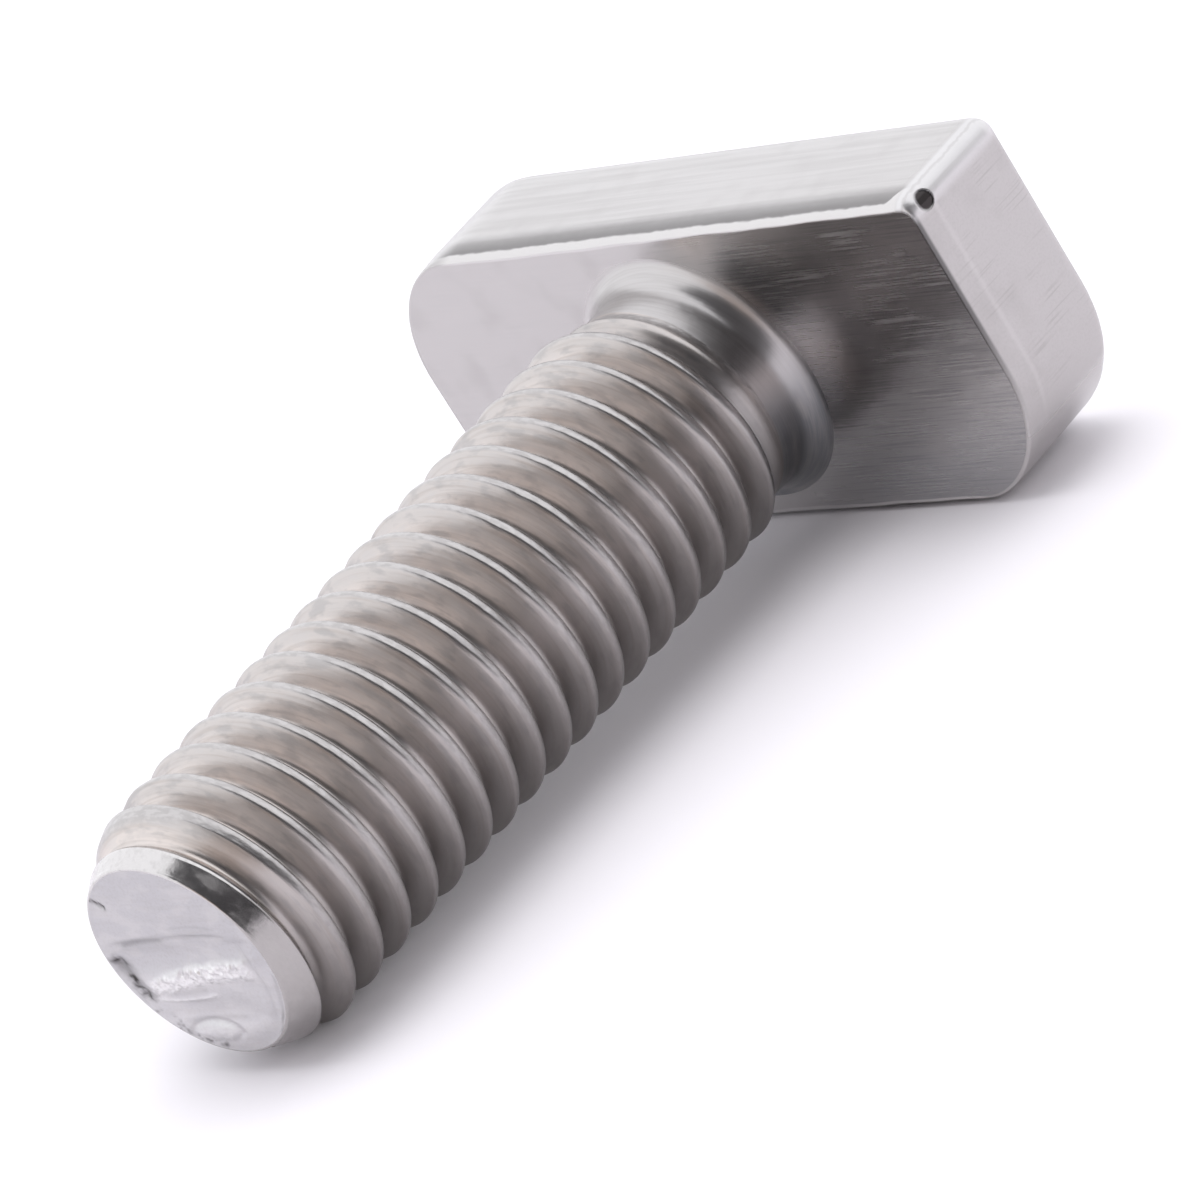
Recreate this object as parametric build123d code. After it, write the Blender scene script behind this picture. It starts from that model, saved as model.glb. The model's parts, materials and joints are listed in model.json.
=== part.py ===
"""Hammer-head T slot bolt, M8 x 25, in one piece of stainless steel. All sizes in millimetres.

The bolt is built on its own axis first: +X runs from the head towards the tip, the bearing
face is the plane x = 0, and the head is long in Y. It is then tipped about Y into the pose
in which it lies on a flat surface, on the head's lower edge and the shank's full diameter,
and its origin is put at the middle of its base.
"""
from build123d import *
from math import atan2, degrees
import os

# Head: a flat bar with two opposite corners rounded, so that it turns in its channel one way.
head_length = 22.8  # along Y
head_width = 10.1  # along Z
head_thickness = 4.2  # along X
turning_corner_radius = 4.3  # the two rounded corners, at +Y -Z and -Y +Z
stopping_corner_radius = 0.8  # the two corners that stop against the channel's walls
long_edge_inset = 0.23  # edge break along the long sides of the bearing face
long_edge_depth = 0.52
end_bevel_inset = 0.06  # slight bevel round the short ends
end_bevel_depth = 1.3
back_edge_radius = 0.6  # round the outer face

# Shank: flare, neck, thread and point. The thread is drawn as its outside cylinder.
shank_length = 24.7  # from the bearing face to the end of the point
thread_diameter = 8.0  # M8
neck_diameter = 7.1
flare_diameter = 8.4  # where the neck runs out into the bearing face
flare_length = 0.8
neck_length = 2.2  # from the bearing face to the first thread
run_in_length = 0.8  # over which the first thread rises to its full height
point_length = 1.8
point_diameter = 6.2
root_depth = 1.0  # how far the shank reaches into the head


def outline():
    """The head seen along the bolt's axis: a bar with two round and two nearly square corners."""
    with BuildSketch(Plane.YZ) as section:
        Rectangle(head_length, head_width)
        fillet([v for v in section.vertices() if v.X * v.Y > 0], stopping_corner_radius)
        fillet([v for v in section.vertices() if v.X * v.Y < 0], turning_corner_radius)
    return section.sketch


def bevelled_bar(plane, width, inset, depth, span):
    """A bar as thick as the head, with the two long edges of its front bevelled."""
    half = width / 2
    corners = [
        (-head_thickness, -half),
        (-depth, -half),
        (0, inset - half),
        (0, half - inset),
        (-depth, half),
        (-head_thickness, half),
    ]
    return extrude(plane * make_face(Polyline(*corners, close=True)), span / 2, both=True)


def head():
    """The outline as a block, its front edges bevelled and its outer edge rounded."""
    block = (
        extrude(outline(), -head_thickness)
        & bevelled_bar(Plane.XZ, head_width, long_edge_inset, long_edge_depth, head_length)
        & bevelled_bar(Plane.XY, head_length, end_bevel_inset, end_bevel_depth, head_width)
    )
    outer_face = block.faces().sort_by(Axis.X)[0]
    return fillet(outer_face.edges(), back_edge_radius)


def shank():
    """Everything turned about the bolt's axis, from its root in the head to the point."""
    neck_radius = neck_diameter / 2
    thread_radius = thread_diameter / 2
    flare_radius = flare_diameter / 2
    flare_end = (flare_length, neck_radius)
    flare_rim = (0, flare_radius)
    with BuildSketch(Plane.XZ) as profile:
        with BuildLine():
            TangentArc(flare_end, flare_rim, tangent=(-1, 0))
            Polyline(
                flare_rim,
                (-root_depth, flare_radius),
                (-root_depth, 0),
                (shank_length, 0),
                (shank_length, point_diameter / 2),
                (shank_length - point_length, thread_radius),
                (neck_length + run_in_length, thread_radius),
                (neck_length, neck_radius),
                flare_end,
            )
        make_face()
    return revolve(profile.sketch, Axis.X)


def at_rest(bolt):
    """Tip the bolt until it lies on its head and shank, with its origin under its middle."""
    head_contact = (-long_edge_depth, -head_width / 2)
    shank_contact = (shank_length - point_length, -thread_diameter / 2)
    rise = shank_contact[1] - head_contact[1]
    run = shank_contact[0] - head_contact[0]
    tipped = Rot(0, degrees(atan2(rise, run)), 0) * bolt
    box = tipped.bounding_box()
    return Pos(-box.center().X, -box.center().Y, -box.min.Z) * tipped


os.makedirs("parts", exist_ok=True)
export_step(at_rest(head() + shank()), "parts/t_slot_bolt.step")
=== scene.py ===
"""Looks of the hammer-head T slot bolt, M8 x 25: its rolled thread, brushed head and cropped end.

The bolt is drawn on its own axis, as the CAD is: +X runs from the head towards the tip, the
bearing face is the plane x = 0, and the head is long in Y. Shapes are in millimetres until the
mesh is made. The record's bearing_face mount then says where the bolt lies.
"""
import json
import math
from collections import namedtuple

import bmesh
import bpy
import numpy as np
from mathutils import Matrix, Vector, noise


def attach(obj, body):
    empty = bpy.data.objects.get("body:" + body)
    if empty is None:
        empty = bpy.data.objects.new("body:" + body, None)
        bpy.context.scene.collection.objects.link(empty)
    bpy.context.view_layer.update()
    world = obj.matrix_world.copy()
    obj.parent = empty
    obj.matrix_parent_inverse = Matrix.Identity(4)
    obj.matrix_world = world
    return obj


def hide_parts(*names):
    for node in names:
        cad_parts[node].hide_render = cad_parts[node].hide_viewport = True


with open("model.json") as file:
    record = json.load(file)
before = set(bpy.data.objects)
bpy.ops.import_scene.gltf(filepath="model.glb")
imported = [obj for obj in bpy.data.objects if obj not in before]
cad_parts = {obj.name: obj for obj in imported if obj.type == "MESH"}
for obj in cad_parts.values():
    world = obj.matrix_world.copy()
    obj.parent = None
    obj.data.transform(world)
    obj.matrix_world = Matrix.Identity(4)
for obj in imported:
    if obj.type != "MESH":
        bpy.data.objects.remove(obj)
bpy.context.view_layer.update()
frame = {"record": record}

MM = 0.001  # metres in a millimetre
TURN = 2 * math.pi
QUARTER_TURN = math.pi / 2
NODE = "t_slot_bolt"

# Head, as in the CAD, but for slightly sharper square corners and a shorter bevel at the ends.
HEAD_LENGTH = 22.8
HEAD_WIDTH = 10.1
HEAD_THICKNESS = 4.2
TURNING_CORNER_RADIUS = 4.3
STOPPING_CORNER_RADIUS = 0.6
BACK_EDGE_RADIUS = 0.6
HALF_LENGTH = HEAD_LENGTH / 2
HALF_WIDTH = HEAD_WIDTH / 2

# Front edges of the head: rolled over along the sides, bevelled behind a fine break at the ends.
SIDE_EDGE_INSET = 0.32
SIDE_EDGE_DEPTH = 0.82
END_BREAK = 0.06
END_BEVEL_INSET = 0.05
END_BEVEL_DEPTH = 0.8
END_BEVEL_BLEND = 0.10
END_EDGE_REACH = 0.25  # share of a rounded corner over which a side's edge becomes an end's
CORNER_ROLL_DEPTH = 0.30  # the rolled edge is shallower round the two square corners
CORNER_ROLL_CURVE = 0.8  # below 1, the roll stays shallow over more of the corner
EDGE_WAVE = 0.10  # the sides' rolled edge wanders by less than this share of its width
EDGE_WAVE_LENGTH = 1.1

# Shank, as in the CAD.
SHANK_LENGTH = 24.7
THREAD_RADIUS = 4.0
NECK_RADIUS = 3.55
FLARE_RADIUS = 4.2
FLARE_LENGTH = 0.8

# Rolled thread, M8 x 1.25. Its section is given by the surface's tilt, in degrees, at distances
# from the crest towards the tip and towards the head, where the crest has been rolled over.
PITCH = 1.25
CREST_PHASE = 0.342  # x of the crest that lies on +Y
TIP_SIDE_TILTS = (
    (0.0, 0), (0.015, 4), (0.07, 38), (0.12, 59), (0.43, 60), (0.53, 38), (0.60, 12), (0.625, 4),
)
HEAD_SIDE_TILTS = (
    (0.0, 0), (0.03, 4), (0.20, 28), (0.27, 64), (0.46, 64), (0.54, 24), (0.60, 6), (0.625, 0),
)
SECTION_SAMPLES = 400
NICKS = 90
NICK_DEPTHS = (0.004, 0.018)
NICK_WIDTHS = (0.10, 0.35)
NICK_REACH = (0.03, 0.15)  # how far from the crest a nick begins to fade, and ends
NICK_SEED = 8
RUN_IN = (1.6, 2.8)  # the thread rises from the neck between these two
THREAD_START = 1.55  # between these two the rows follow the helix
THREAD_END = 24.25
TIP_SIDE_STEPS = (0.0, 0.03, 0.06, 0.095, 0.14, 0.30, 0.45, 0.49, 0.54)  # rows, from the crest
HEAD_SIDE_STEPS = (0.05, 0.12, 0.18, 0.225, 0.285, 0.45, 0.49, 0.53, 0.58)

# Point: it curves in, and the cropping tool has pushed it a little to one side.
POINT_START = 22.75
POINT_CUT_FROM = 23.5  # from here on, what the taper cuts is polished
POINT_DROP = 0.90  # how much smaller the radius is at the end
POINT_CURVE = 1.4
POINT_LEAN = 0.06
POINT_LEAN_ANGLE = math.radians(190)
POINT_LEAN_ZONE = (23.2, 24.4)  # the lean grows between these two
RIM_ROUND = 0.09
RIM_TAPER = 0.65
END_TILT = -0.039  # rise of the cropped face along Y
END_MIDDLE = 24.62
RELIEF_START = 0.05  # share of the cropped face's radius over which its relief sets in

# What the materials know of each point: where it is, how worn it is, and how much darker or brighter
# # the cropped face is painted, partly as shade and highlights.
WEAR_HEAD_SIDE = (-0.27, -0.19)  # the crest's worn strip fades out between these, towards the head
WEAR_TIP_SIDE = (0.09, 0.04)  # and between these, towards the tip
WEAR_CUT = (0.0, 0.02)  # what the taper cuts grows as bright as a worn crest over this depth
END_MARK_DEPTHS = (0.4, 0.25)  # the cropped face's marks set in this far behind its middle

# Rows and columns of the mesh.
COLUMNS = 224
EDGE_ROWS = 9
BACK_ROWS = 5
BEARING_ROWS = 4
EDGE_MARGIN = 0.05  # the bearing face is flat up to this distance from its edges
FLARE_ROWS = 8
CAP_ROWS = 6
CAP_MARGIN = 0.25  # part of a row by which the outer face's last row stops short of its edge
POINT_ROWS = 6
RIM_ROWS = 3
END_ROWS = 44
# Columns round half the head's outline: an end, a nearly square corner, a side, a round corner.
OUTLINE_COLUMNS = (14, 10, 68, 20)
EVENNESS = 0.7  # 0 spaces a side's columns radially and 1 evenly
OUTLINE_SHIFT = 3  # how many columns the outline's start lies before +Y
WELD = 0.002  # points nearer than this are one

COLUMN_ANGLES = np.arange(COLUMNS) * TURN / COLUMNS


# ---------------------------------------------------------------- shapes
def ring(x, radius):
    """One row of points round the axis."""
    x = np.broadcast_to(x, COLUMN_ANGLES.shape)
    return np.column_stack((x, radius * np.cos(COLUMN_ANGLES), radius * np.sin(COLUMN_ANGLES)))


def smoothstep(low, high, value):
    """0 at low and before it, 1 at high and beyond it, and smooth between them."""
    t = np.clip((value - low) / (high - low), 0, 1)
    return t * t * (3 - 2 * t)


def thread_section():
    """Distances from a crest, positive towards the tip, and how deep the thread is at each."""
    distances = np.linspace(0, PITCH / 2, SECTION_SAMPLES)
    sides = []
    for tilts in (TIP_SIDE_TILTS, HEAD_SIDE_TILTS):
        slopes = np.tan(np.radians(np.interp(distances, *zip(*tilts))))
        sides.append(np.cumsum(slopes) * distances[1])
    tip_side, head_side = sides
    head_side *= tip_side[-1] / head_side[-1]
    return np.concatenate((-distances[:0:-1], distances)), np.concatenate((head_side[:0:-1], tip_side))


SECTION = thread_section()


def point_radius(x, angle):
    """Radius of the point's taper."""
    share = np.maximum(x - POINT_START, 0) / (SHANK_LENGTH - POINT_START)
    lean = POINT_LEAN * np.cos(angle - POINT_LEAN_ANGLE) * smoothstep(*POINT_LEAN_ZONE, x)
    return THREAD_RADIUS - POINT_DROP * share**POINT_CURVE + lean


def crest_nicks():
    """Where along the helix, in turns, each nick in the crest lies, and its depth and width."""
    draw = np.random.default_rng(NICK_SEED)
    turns = draw.uniform(THREAD_START / PITCH, SHANK_LENGTH / PITCH, NICKS)
    return np.column_stack((turns, draw.uniform(*NICK_DEPTHS, NICKS), draw.uniform(*NICK_WIDTHS, NICKS)))


NICK_TABLE = crest_nicks()


def turns_from_first_crest(x, angle):
    """How many turns of the thread lie between this place and the crest on +Y at CREST_PHASE."""
    return (x - CREST_PHASE) / PITCH - angle / TURN


def crest_offset(x, angle):
    """Distance along the axis from the nearest crest, positive towards the tip."""
    turns = turns_from_first_crest(x, angle)
    return (turns - np.round(turns)) * PITCH


def thread_profile(x, angle):
    """Radius of the rolled thread, from its run-in at the neck, as if it had no point."""
    offset = crest_offset(x, angle)
    profile = THREAD_RADIUS - np.interp(offset, *SECTION)
    along = np.round(turns_from_first_crest(x, angle)) + angle / TURN
    near_crest = 1 - smoothstep(*NICK_REACH, np.abs(offset))
    for turn, depth, width in NICK_TABLE:
        away = (along - turn) * TURN * THREAD_RADIUS / width
        profile = profile - depth * np.exp(-away**2) * near_crest
    return NECK_RADIUS + (profile - NECK_RADIUS) * smoothstep(*RUN_IN, x)


def thread_radius(x, angle):
    """Radius of the rolled thread, cut down by the point's taper."""
    return np.minimum(thread_profile(x, angle), point_radius(x, angle))


def thread_rows():
    """Rows that follow the helix, clamped to the two planes between which the thread lies."""
    steps = np.concatenate((TIP_SIDE_STEPS, [PITCH / 2], PITCH - np.array(HEAD_SIDE_STEPS)[::-1]))
    first_turn = math.floor((THREAD_START - CREST_PHASE) / PITCH) - 2
    last_turn = math.ceil((THREAD_END - CREST_PHASE) / PITCH) + 1
    rows = []
    for turn in range(first_turn, last_turn):
        for step in steps:
            along = CREST_PHASE + turn * PITCH + step + COLUMN_ANGLES / TURN * PITCH
            x = np.clip(along, THREAD_START, THREAD_END)
            rows.append(ring(x, thread_radius(x, COLUMN_ANGLES)))
    return rows, len(steps)


def quarter_arc(y, z, radius, start, columns):
    """Points on a quarter of a circle about Y and Z, from this many quarter turns on."""
    angles = QUARTER_TURN * (start + np.arange(columns) / columns)
    return np.column_stack((y + radius * np.cos(angles), z + radius * np.sin(angles)))


def outline(inset):
    """The head's outline seen along the axis, a rounded bar, one point for each column."""
    half_length = HALF_LENGTH - inset
    half_width = HALF_WIDTH - inset
    square = STOPPING_CORNER_RADIUS - inset
    rounded = TURNING_CORNER_RADIUS - inset
    side_start = half_length - square
    side_stop = rounded - half_length
    end_columns, square_columns, side_columns, round_columns = OUTLINE_COLUMNS
    heights = np.linspace(rounded - half_width, half_width - square, end_columns, endpoint=False)
    even = np.linspace(side_start, side_stop, side_columns, endpoint=False)
    angles = [math.atan2(half_width, y) for y in (side_start, side_stop)]
    radial = half_width / np.tan(np.linspace(*angles, side_columns, endpoint=False))
    half = np.concatenate((
        np.column_stack((np.full(end_columns, half_length), heights)),
        quarter_arc(side_start, half_width - square, square, 0, square_columns),
        np.column_stack((radial + (even - radial) * EVENNESS, np.full(side_columns, half_width))),
        quarter_arc(side_stop, half_width - rounded, rounded, 1, round_columns),
    ))
    return np.roll(np.concatenate((half, -half)), -OUTLINE_SHIFT, axis=0)


def round_outline(end, square, side, rounded):
    """A value for each column, given for each part of half the outline, as one number or several."""
    parts = (end, square, side, rounded)
    half = np.concatenate([np.broadcast_to(part, n) for part, n in zip(parts, OUTLINE_COLUMNS)])
    return np.roll(np.tile(half, 2), -OUTLINE_SHIFT)


def edge_shares():
    """For each column, how far its edge is shaped as an end's rather than as a side's, and how near
    it lies to the middle of a square corner."""
    _, square_columns, _, round_columns = OUTLINE_COLUMNS
    turned = (np.arange(square_columns) + 0.5) / square_columns
    rising = smoothstep(0, END_EDGE_REACH, np.arange(round_columns) / round_columns)
    bump = np.sin(math.pi * turned) ** CORNER_ROLL_CURVE
    return round_outline(1, 1 - smoothstep(0, 1, turned), 0, rising), round_outline(0, bump, 0, 0)


def edge_wave():
    """How wide the rolled edge is at each column, about 1."""
    lumps = [noise.noise(Vector((y, z, 0.0)) / EDGE_WAVE_LENGTH) for y, z in outline(0)]
    return 1 + EDGE_WAVE * np.array(lumps)


def head_row(depth, inset):
    """A row round the head at this depth behind the bearing face. Depth and inset may vary."""
    share = (np.broadcast_to(inset, COLUMN_ANGLES.shape) / SIDE_EDGE_INSET)[:, None]
    outer = outline(0)
    across = outer + (outline(SIDE_EDGE_INSET) - outer) * share
    x = -np.broadcast_to(depth, COLUMN_ANGLES.shape)
    return np.column_stack((x, across))


def end_edge(k):
    """Depth and inset of an end's front edge at this row: a fine break, then a shallow bevel."""
    break_rows = EDGE_ROWS // 2
    if k < break_rows:
        turn = QUARTER_TURN * k / break_rows
        return END_BREAK * (1 - math.cos(turn)), END_BEVEL_INSET + END_BREAK * (1 - math.sin(turn))
    share = (k - break_rows) / (EDGE_ROWS - 1 - break_rows)
    depth = END_BREAK + (END_BEVEL_DEPTH + END_BEVEL_BLEND - END_BREAK) * share
    slope = END_BEVEL_INSET / (END_BEVEL_DEPTH - END_BREAK)
    return depth, max(END_BEVEL_INSET - slope * (depth - END_BREAK), 0)


def front_edge_rows():
    """From the bearing face's rim to the sides, as an elliptic roll, but for the ends' own edge."""
    ends, corners = edge_shares()
    wave = edge_wave()
    rows = []
    for k in range(EDGE_ROWS):
        angle = QUARTER_TURN * k / (EDGE_ROWS - 1)
        side_depth = SIDE_EDGE_DEPTH * (1 - math.cos(angle)) * wave
        side_inset = SIDE_EDGE_INSET * (1 - math.sin(angle)) * wave
        corner_depth = CORNER_ROLL_DEPTH * (1 - math.cos(angle))
        end_depth, end_inset = end_edge(k)
        depth = side_depth + (end_depth - side_depth) * ends
        inset = side_inset + (end_inset - side_inset) * ends
        depth += (corner_depth - depth) * corners
        rows.append(head_row(depth, inset))
    return rows


def head_rows():
    """From the middle of the outer face, round the sides, to the flare's rim."""
    rows = []
    flat = head_row(HEAD_THICKNESS, BACK_EDGE_RADIUS)
    for k in range(1, CAP_ROWS + 1):
        row = flat.copy()
        row[:, 1:] *= math.sin(QUARTER_TURN * k / (CAP_ROWS + CAP_MARGIN))
        rows.append(row)
    for k in range(BACK_ROWS + 1):
        angle = QUARTER_TURN * k / BACK_ROWS
        depth = HEAD_THICKNESS - BACK_EDGE_RADIUS * (1 - math.cos(angle))
        rows.append(head_row(depth, BACK_EDGE_RADIUS * (1 - math.sin(angle))))
    rows += front_edge_rows()[::-1]
    rim = rows[-1]
    across = ring(0.0, FLARE_RADIUS) - rim
    margin = EDGE_MARGIN / np.linalg.norm(across, axis=1, keepdims=True)
    for k in range(BEARING_ROWS):
        rows.append(rim + across * (margin + (1 - 2 * margin) * k / (BEARING_ROWS - 1)))
    return rows


def neck_rows():
    """The flare's arc from its rim to the neck."""
    rise = FLARE_RADIUS - NECK_RADIUS
    arc = (FLARE_LENGTH**2 + rise**2) / (2 * rise)
    sweep = math.asin(FLARE_LENGTH / arc)
    rows = []
    for k in range(FLARE_ROWS + 1):
        angle = sweep * (1 - k / FLARE_ROWS)
        x = FLARE_LENGTH - arc * math.sin(angle)
        rows.append(ring(x, NECK_RADIUS + arc * (1 - math.cos(angle))))
    return rows


# ---------------------------------------------------------------- the cropped end
# Marks on the cropped face, each placed by its Y and Z. A line runs from its start to its stop and
# bows aside between them; a spot has a size across Y and Z and may be turned.
Line = namedtuple("Line", "start stop bow width")
Spot = namedtuple("Spot", "at size turn", defaults=(0.0,))
LINE_FADE = 0.15  # share of a line over which it fades at either end

CRACK = Line((-2.4, 2.28), (-1.65, 1.90), bow=0.04, width=0.05)
FOLD = Line((2.3, 0.6), (1.9, -2.25), bow=0.38, width=0.10)  # down one side
OVAL_MIDDLE = (-0.6, -2.42)
OVAL = Spot(OVAL_MIDDLE, (0.95, 0.30), turn=0.03)
OVAL_GROOVE = Spot(OVAL_MIDDLE, (0.95, 0.36))
OVAL_GROOVE_WIDTH = 0.16  # as a share of the oval's size
OVAL_GROOVE_DEPTH = 0.05

RELIEF_SPOTS = (  # each with its height
    (Spot((-0.3, 1.75), (2.2, 0.9)), 0.08),  # the lap
    (Spot((-0.2, -1.75), (1.9, 0.55), turn=0.06), -0.13),  # the bowl
    (OVAL, 0.07),
)
RELIEF_LINES = (  # each with its height
    (Line((-3.0, 0.57), (2.4, 0.70), bow=0.14, width=0.10), -0.05),  # the crease under the lap
    (Line((-2.1, -1.20), (0.5, -1.12), bow=-0.10, width=0.09), 0.05),  # the bowl's upper lip
    (FOLD, -0.04),
    (Line((3.0, -0.3), (1.5, -2.75), bow=0.22, width=0.05), -0.06),  # a groove inside the rim
    (CRACK, -0.10),
)
# The steel steps down below the crease, whose z is a constant, a slope and a bend along Y.
CREASE_CURVE = (0.62, 0.06, -0.03)
CREASE_STEP = (0.25, -0.20)
CREASE_DROP = 0.07
LOWER_RISE = 0.13  # and it rises again lower down
LOWER_RISE_ZONE = (0.3, -0.45)
LOWER_RISE_SLOPE = 0.1

# Rough steel: each set of lumps has a height, a size and a seed.
FACE_LUMPS = ((0.03, 0.9, 21.5),)
TORN_CURVE = (-0.50, 0.14, -0.035)  # z of the torn band's middle along Y, like the crease's
TORN_HALF_WIDTH = 0.30
TORN_LEFT = (-2.4, -1.6)
TORN_RIGHT = (2.6, 2.1)
TORN_RISE = 0.05
TORN_LUMPS = ((0.05, 0.34, 1.3), (0.06, 0.16, 4.1))
PITS = Line((-2.85, 0.25), (-2.35, -1.3), bow=0.0, width=0.18)
PIT_DEPTH = 0.06
PIT_LUMPS = ((0.10, 0.20, 7.7),)
# The low edge is rough beyond these radii, below these heights and on this side of these.
LOW_EDGE_RADII = (2.3, 2.7)
LOW_EDGE_HEIGHTS = (-0.8, -2.0)
LOW_EDGE_SIDES = (1.0, 0.0)
LOW_EDGE_LUMPS = ((0.05, 0.30, 11.9), (0.04, 0.14, 3.3))
RELIEF_FADE = (3.10, 2.62)  # the relief fades out between these radii

DARKER_LINES = (  # each with how dark it is painted; those in and under the crease are painted shade
    (CRACK, 0.9),
    (Line((-3.1, 0.57), (2.4, 0.70), bow=0.14, width=0.07), 0.14),  # painted shade in the crease
    # painted shade along the crease's left part
    (Line((-2.3, 0.58), (-0.3, 0.72), bow=0.05, width=0.09), 0.30),
    (Line((-2.5, 0.34), (-0.1, 0.50), bow=0.05, width=0.20), 0.10),  # and painted shade under it
    (Line((-2.75, 0.20), (-2.12, -1.30), bow=0.0, width=0.24), 0.42),  # over the pits
    (Line((0.0, 1.07), (2.0, 1.00), bow=0.14, width=0.05), 0.12),  # on the lap
    (Line((-1.9, -1.02), (0.3, -0.98), bow=-0.04, width=0.12), 0.14),  # along the bowl
    (Line((-1.7, -2.05), (1.2, -1.98), bow=0.05, width=0.07), 0.16),
    (FOLD._replace(width=0.06), 0.12),
    (Line((3.05, -0.4), (1.6, -2.80), bow=0.22, width=0.035), 0.45),  # in the groove
)
PIT_DARKER = Line((-2.90, 0.35), (-2.25, -1.45), bow=0.0, width=0.28)
PIT_DARKER_LEVEL = 0.35
PIT_DARKER_LUMPS = ((1.8, 0.20, 2.2),)
PIT_DARKER_LIMITS = (0.15, 1)
OVAL_SHADE = Spot(OVAL_MIDDLE, (1.05, 0.38))
OVAL_SHADE_WIDTH = 0.12
OVAL_SHADE_SHARE = 0.16
OVAL_SHADE_ZONE = (-2.7, -2.2)  # only the oval's upper side gets this painted shade
SPECKS = Line((-2.7, -1.4), (-0.3, -3.05), bow=-0.25, width=0.22)
SPECK_LEVEL = -0.25
SPECK_LUMPS = ((2.6, 0.17, 5.5),)
SPECK_SHARE = 0.9

FLECK_LEVEL = 0.75
FLECK_LUMPS = ((1.0, 0.17, 9.9),)
# A painted highlight along the bowl's upper lip.
BOWL_SHINE = Line((-2.2, -1.22), (0.6, -1.12), bow=-0.12, width=0.06)
BOWL_SHINE_SHARE = 0.6
OVAL_SHINE_SHARE = 0.12
LOW_SHINE_SHARE = 0.22
LOW_SHINE_ZONE = (0.0, -0.6)


def dent(y, z, spot):
    """A smooth spot, 1 at its middle and fading over its size."""
    dy = y - spot.at[0]
    dz = z - spot.at[1]
    along = (dy * math.cos(spot.turn) + dz * math.sin(spot.turn)) / spot.size[0]
    across = (dz * math.cos(spot.turn) - dy * math.sin(spot.turn)) / spot.size[1]
    return np.exp(-(along**2) - across**2)


def oval_line(y, z, spot, width):
    """1 along the outline of a spot that isn't turned, fading over this share of its size."""
    reach = np.hypot((y - spot.at[0]) / spot.size[0], (z - spot.at[1]) / spot.size[1])
    return np.exp(-(((reach - 1) / width) ** 2))


def furrow(y, z, line):
    """A soft line, 1 along its middle, that fades at both ends."""
    dy = y - line.start[0]
    dz = z - line.start[1]
    run = (line.stop[0] - line.start[0], line.stop[1] - line.start[1])
    length = math.hypot(*run)
    along = (dy * run[0] + dz * run[1]) / length**2
    across = (dz * run[0] - dy * run[1]) / length
    bent = line.bow * 4 * along * (1 - along)
    fade = smoothstep(0, LINE_FADE, along) * smoothstep(1, 1 - LINE_FADE, along)
    return np.exp(-((across - bent) / line.width) ** 2) * fade


def rough(y, z, lumps):
    """The sum of these lumps, each from minus its height to its height."""
    total = np.zeros(len(y))
    for height, size, seed in lumps:
        total += height * np.array([noise.noise(Vector((a / size, b / size, seed))) for a, b in zip(y, z)])
    return total


def curve(y, terms):
    """A constant, a slope and a bend along Y."""
    constant, slope, bend = terms
    return constant + slope * y + bend * y**2


def torn_band(y, z):
    """1 on the band across the cropped face where the steel was torn, and 0 away from it."""
    span = smoothstep(*TORN_LEFT, y) * smoothstep(*TORN_RIGHT, y)
    return span * np.exp(-((z - curve(y, TORN_CURVE)) / TORN_HALF_WIDTH) ** 4)


def end_relief(y, z):
    """Height of the cropped face over its plane: a smooth lap above a crease, a torn band below
    it, and a shallow bowl down to a rough lower edge."""
    radius = np.hypot(y, z)
    below = smoothstep(*CREASE_STEP, z - curve(y, CREASE_CURVE))
    height = below * (LOWER_RISE * smoothstep(*LOWER_RISE_ZONE, z - LOWER_RISE_SLOPE * y) - CREASE_DROP)
    for spot, rise in RELIEF_SPOTS:
        height += rise * dent(y, z, spot)
    for line, rise in RELIEF_LINES:
        height += rise * furrow(y, z, line)
    height -= OVAL_GROOVE_DEPTH * oval_line(y, z, OVAL_GROOVE, OVAL_GROOVE_WIDTH)
    height += torn_band(y, z) * (TORN_RISE + rough(y, z, TORN_LUMPS))
    height -= furrow(y, z, PITS) * (PIT_DEPTH + rough(y, z, PIT_LUMPS))
    height += rough(y, z, FACE_LUMPS)
    low_edge = smoothstep(*LOW_EDGE_RADII, radius) * smoothstep(*LOW_EDGE_HEIGHTS, z)
    height += low_edge * smoothstep(*LOW_EDGE_SIDES, y) * rough(y, z, LOW_EDGE_LUMPS)
    return height * smoothstep(*RELIEF_FADE, radius)


def end_shade_and_marks(y, z):
    """How much darker the cropped face is painted, from 0 to 1: painted shade in and under the crease
    and on the oval's upper side, and darker along the crack, the pits, the groove and other lines, and at
    specks.
    """
    darkening = np.zeros(len(y))
    for line, share in DARKER_LINES:
        darkening += share * furrow(y, z, line)
    pits = np.clip(PIT_DARKER_LEVEL + rough(y, z, PIT_DARKER_LUMPS), *PIT_DARKER_LIMITS)
    darkening += pits * furrow(y, z, PIT_DARKER)
    oval = oval_line(y, z, OVAL_SHADE, OVAL_SHADE_WIDTH) * smoothstep(*OVAL_SHADE_ZONE, z)
    darkening += OVAL_SHADE_SHARE * oval
    specks = np.clip(SPECK_LEVEL + rough(y, z, SPECK_LUMPS), 0, 1)
    darkening += SPECK_SHARE * specks * furrow(y, z, SPECKS)
    return np.clip(darkening, 0, 1)


def end_torn_and_highlight(y, z):
    """Where the cropped face is painted brighter, from 0 to 1: the torn band, a painted highlight
    along the bowl's lip, and a little on the oval and towards the bottom.
    """
    flecks = np.clip(FLECK_LEVEL + rough(y, z, FLECK_LUMPS), 0, 1)
    torn_and_highlight = torn_band(y, z) * flecks
    torn_and_highlight += BOWL_SHINE_SHARE * furrow(y, z, BOWL_SHINE)
    torn_and_highlight += OVAL_SHINE_SHARE * dent(y, z, OVAL)
    torn_and_highlight += LOW_SHINE_SHARE * smoothstep(*LOW_SHINE_ZONE, z)
    return np.clip(torn_and_highlight, 0, 1)


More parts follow.
